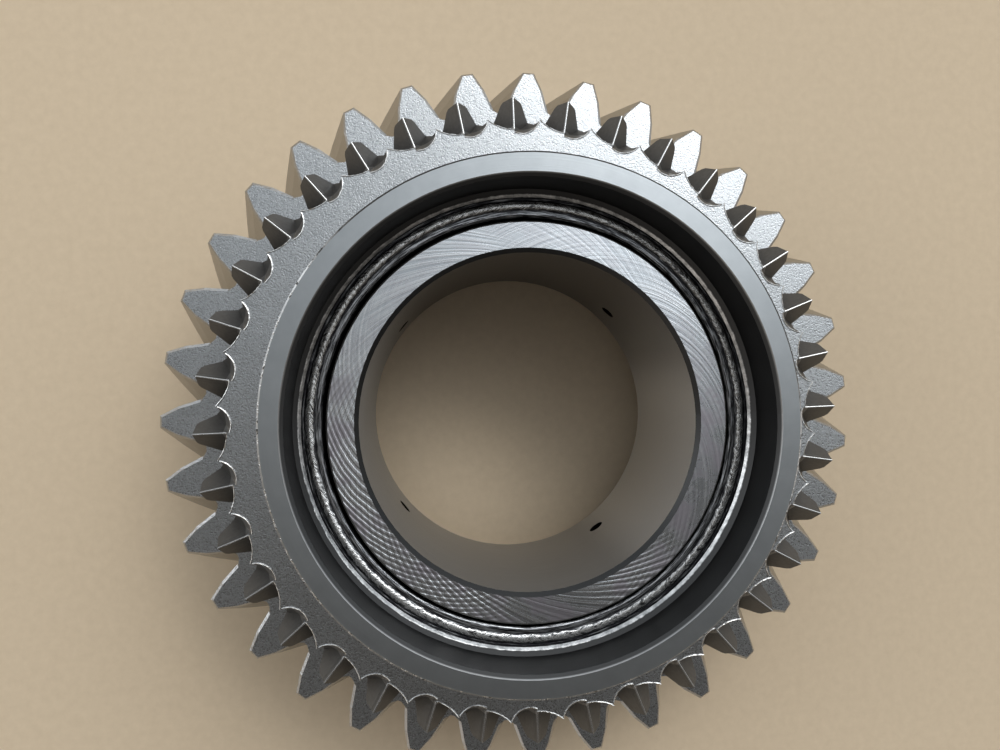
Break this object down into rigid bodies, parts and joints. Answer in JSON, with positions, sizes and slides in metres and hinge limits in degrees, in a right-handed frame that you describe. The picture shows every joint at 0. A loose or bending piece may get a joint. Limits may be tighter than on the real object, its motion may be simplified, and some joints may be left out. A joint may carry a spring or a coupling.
{
  "type": "helical gear with a synchroniser clutch ring",
  "caption": "Left-hand helical transmission gear with a smooth bore through its hub, and a welded clutch ring that carries pointed dog teeth and a friction cone.",
  "frame": {"origin": "centre of the bottom face, on the bore axis", "axes": "+Z along the bore axis from the gear towards the friction cone, +X through the ridge of one dog tooth, +Y completes a right-handed frame"},
  "size_m": [0.1887, 0.1887, 0.0785],
  "materials": {
    "gear_steel": "case-hardened steel, shot-blasted tooth ends, ground hub face and bore",
    "clutch_steel": "shot-blasted dog face, smooth dark forged tooth flanks, turned cone end",
    "weld_metal": "rippled dark weld metal with bright crests"
  },
  "bodies": {
    "root": {"gear_wheel": "gear_steel", "clutch_ring": "clutch_steel", "weld_bead": "weld_metal"}
  },
  "joints": []
}
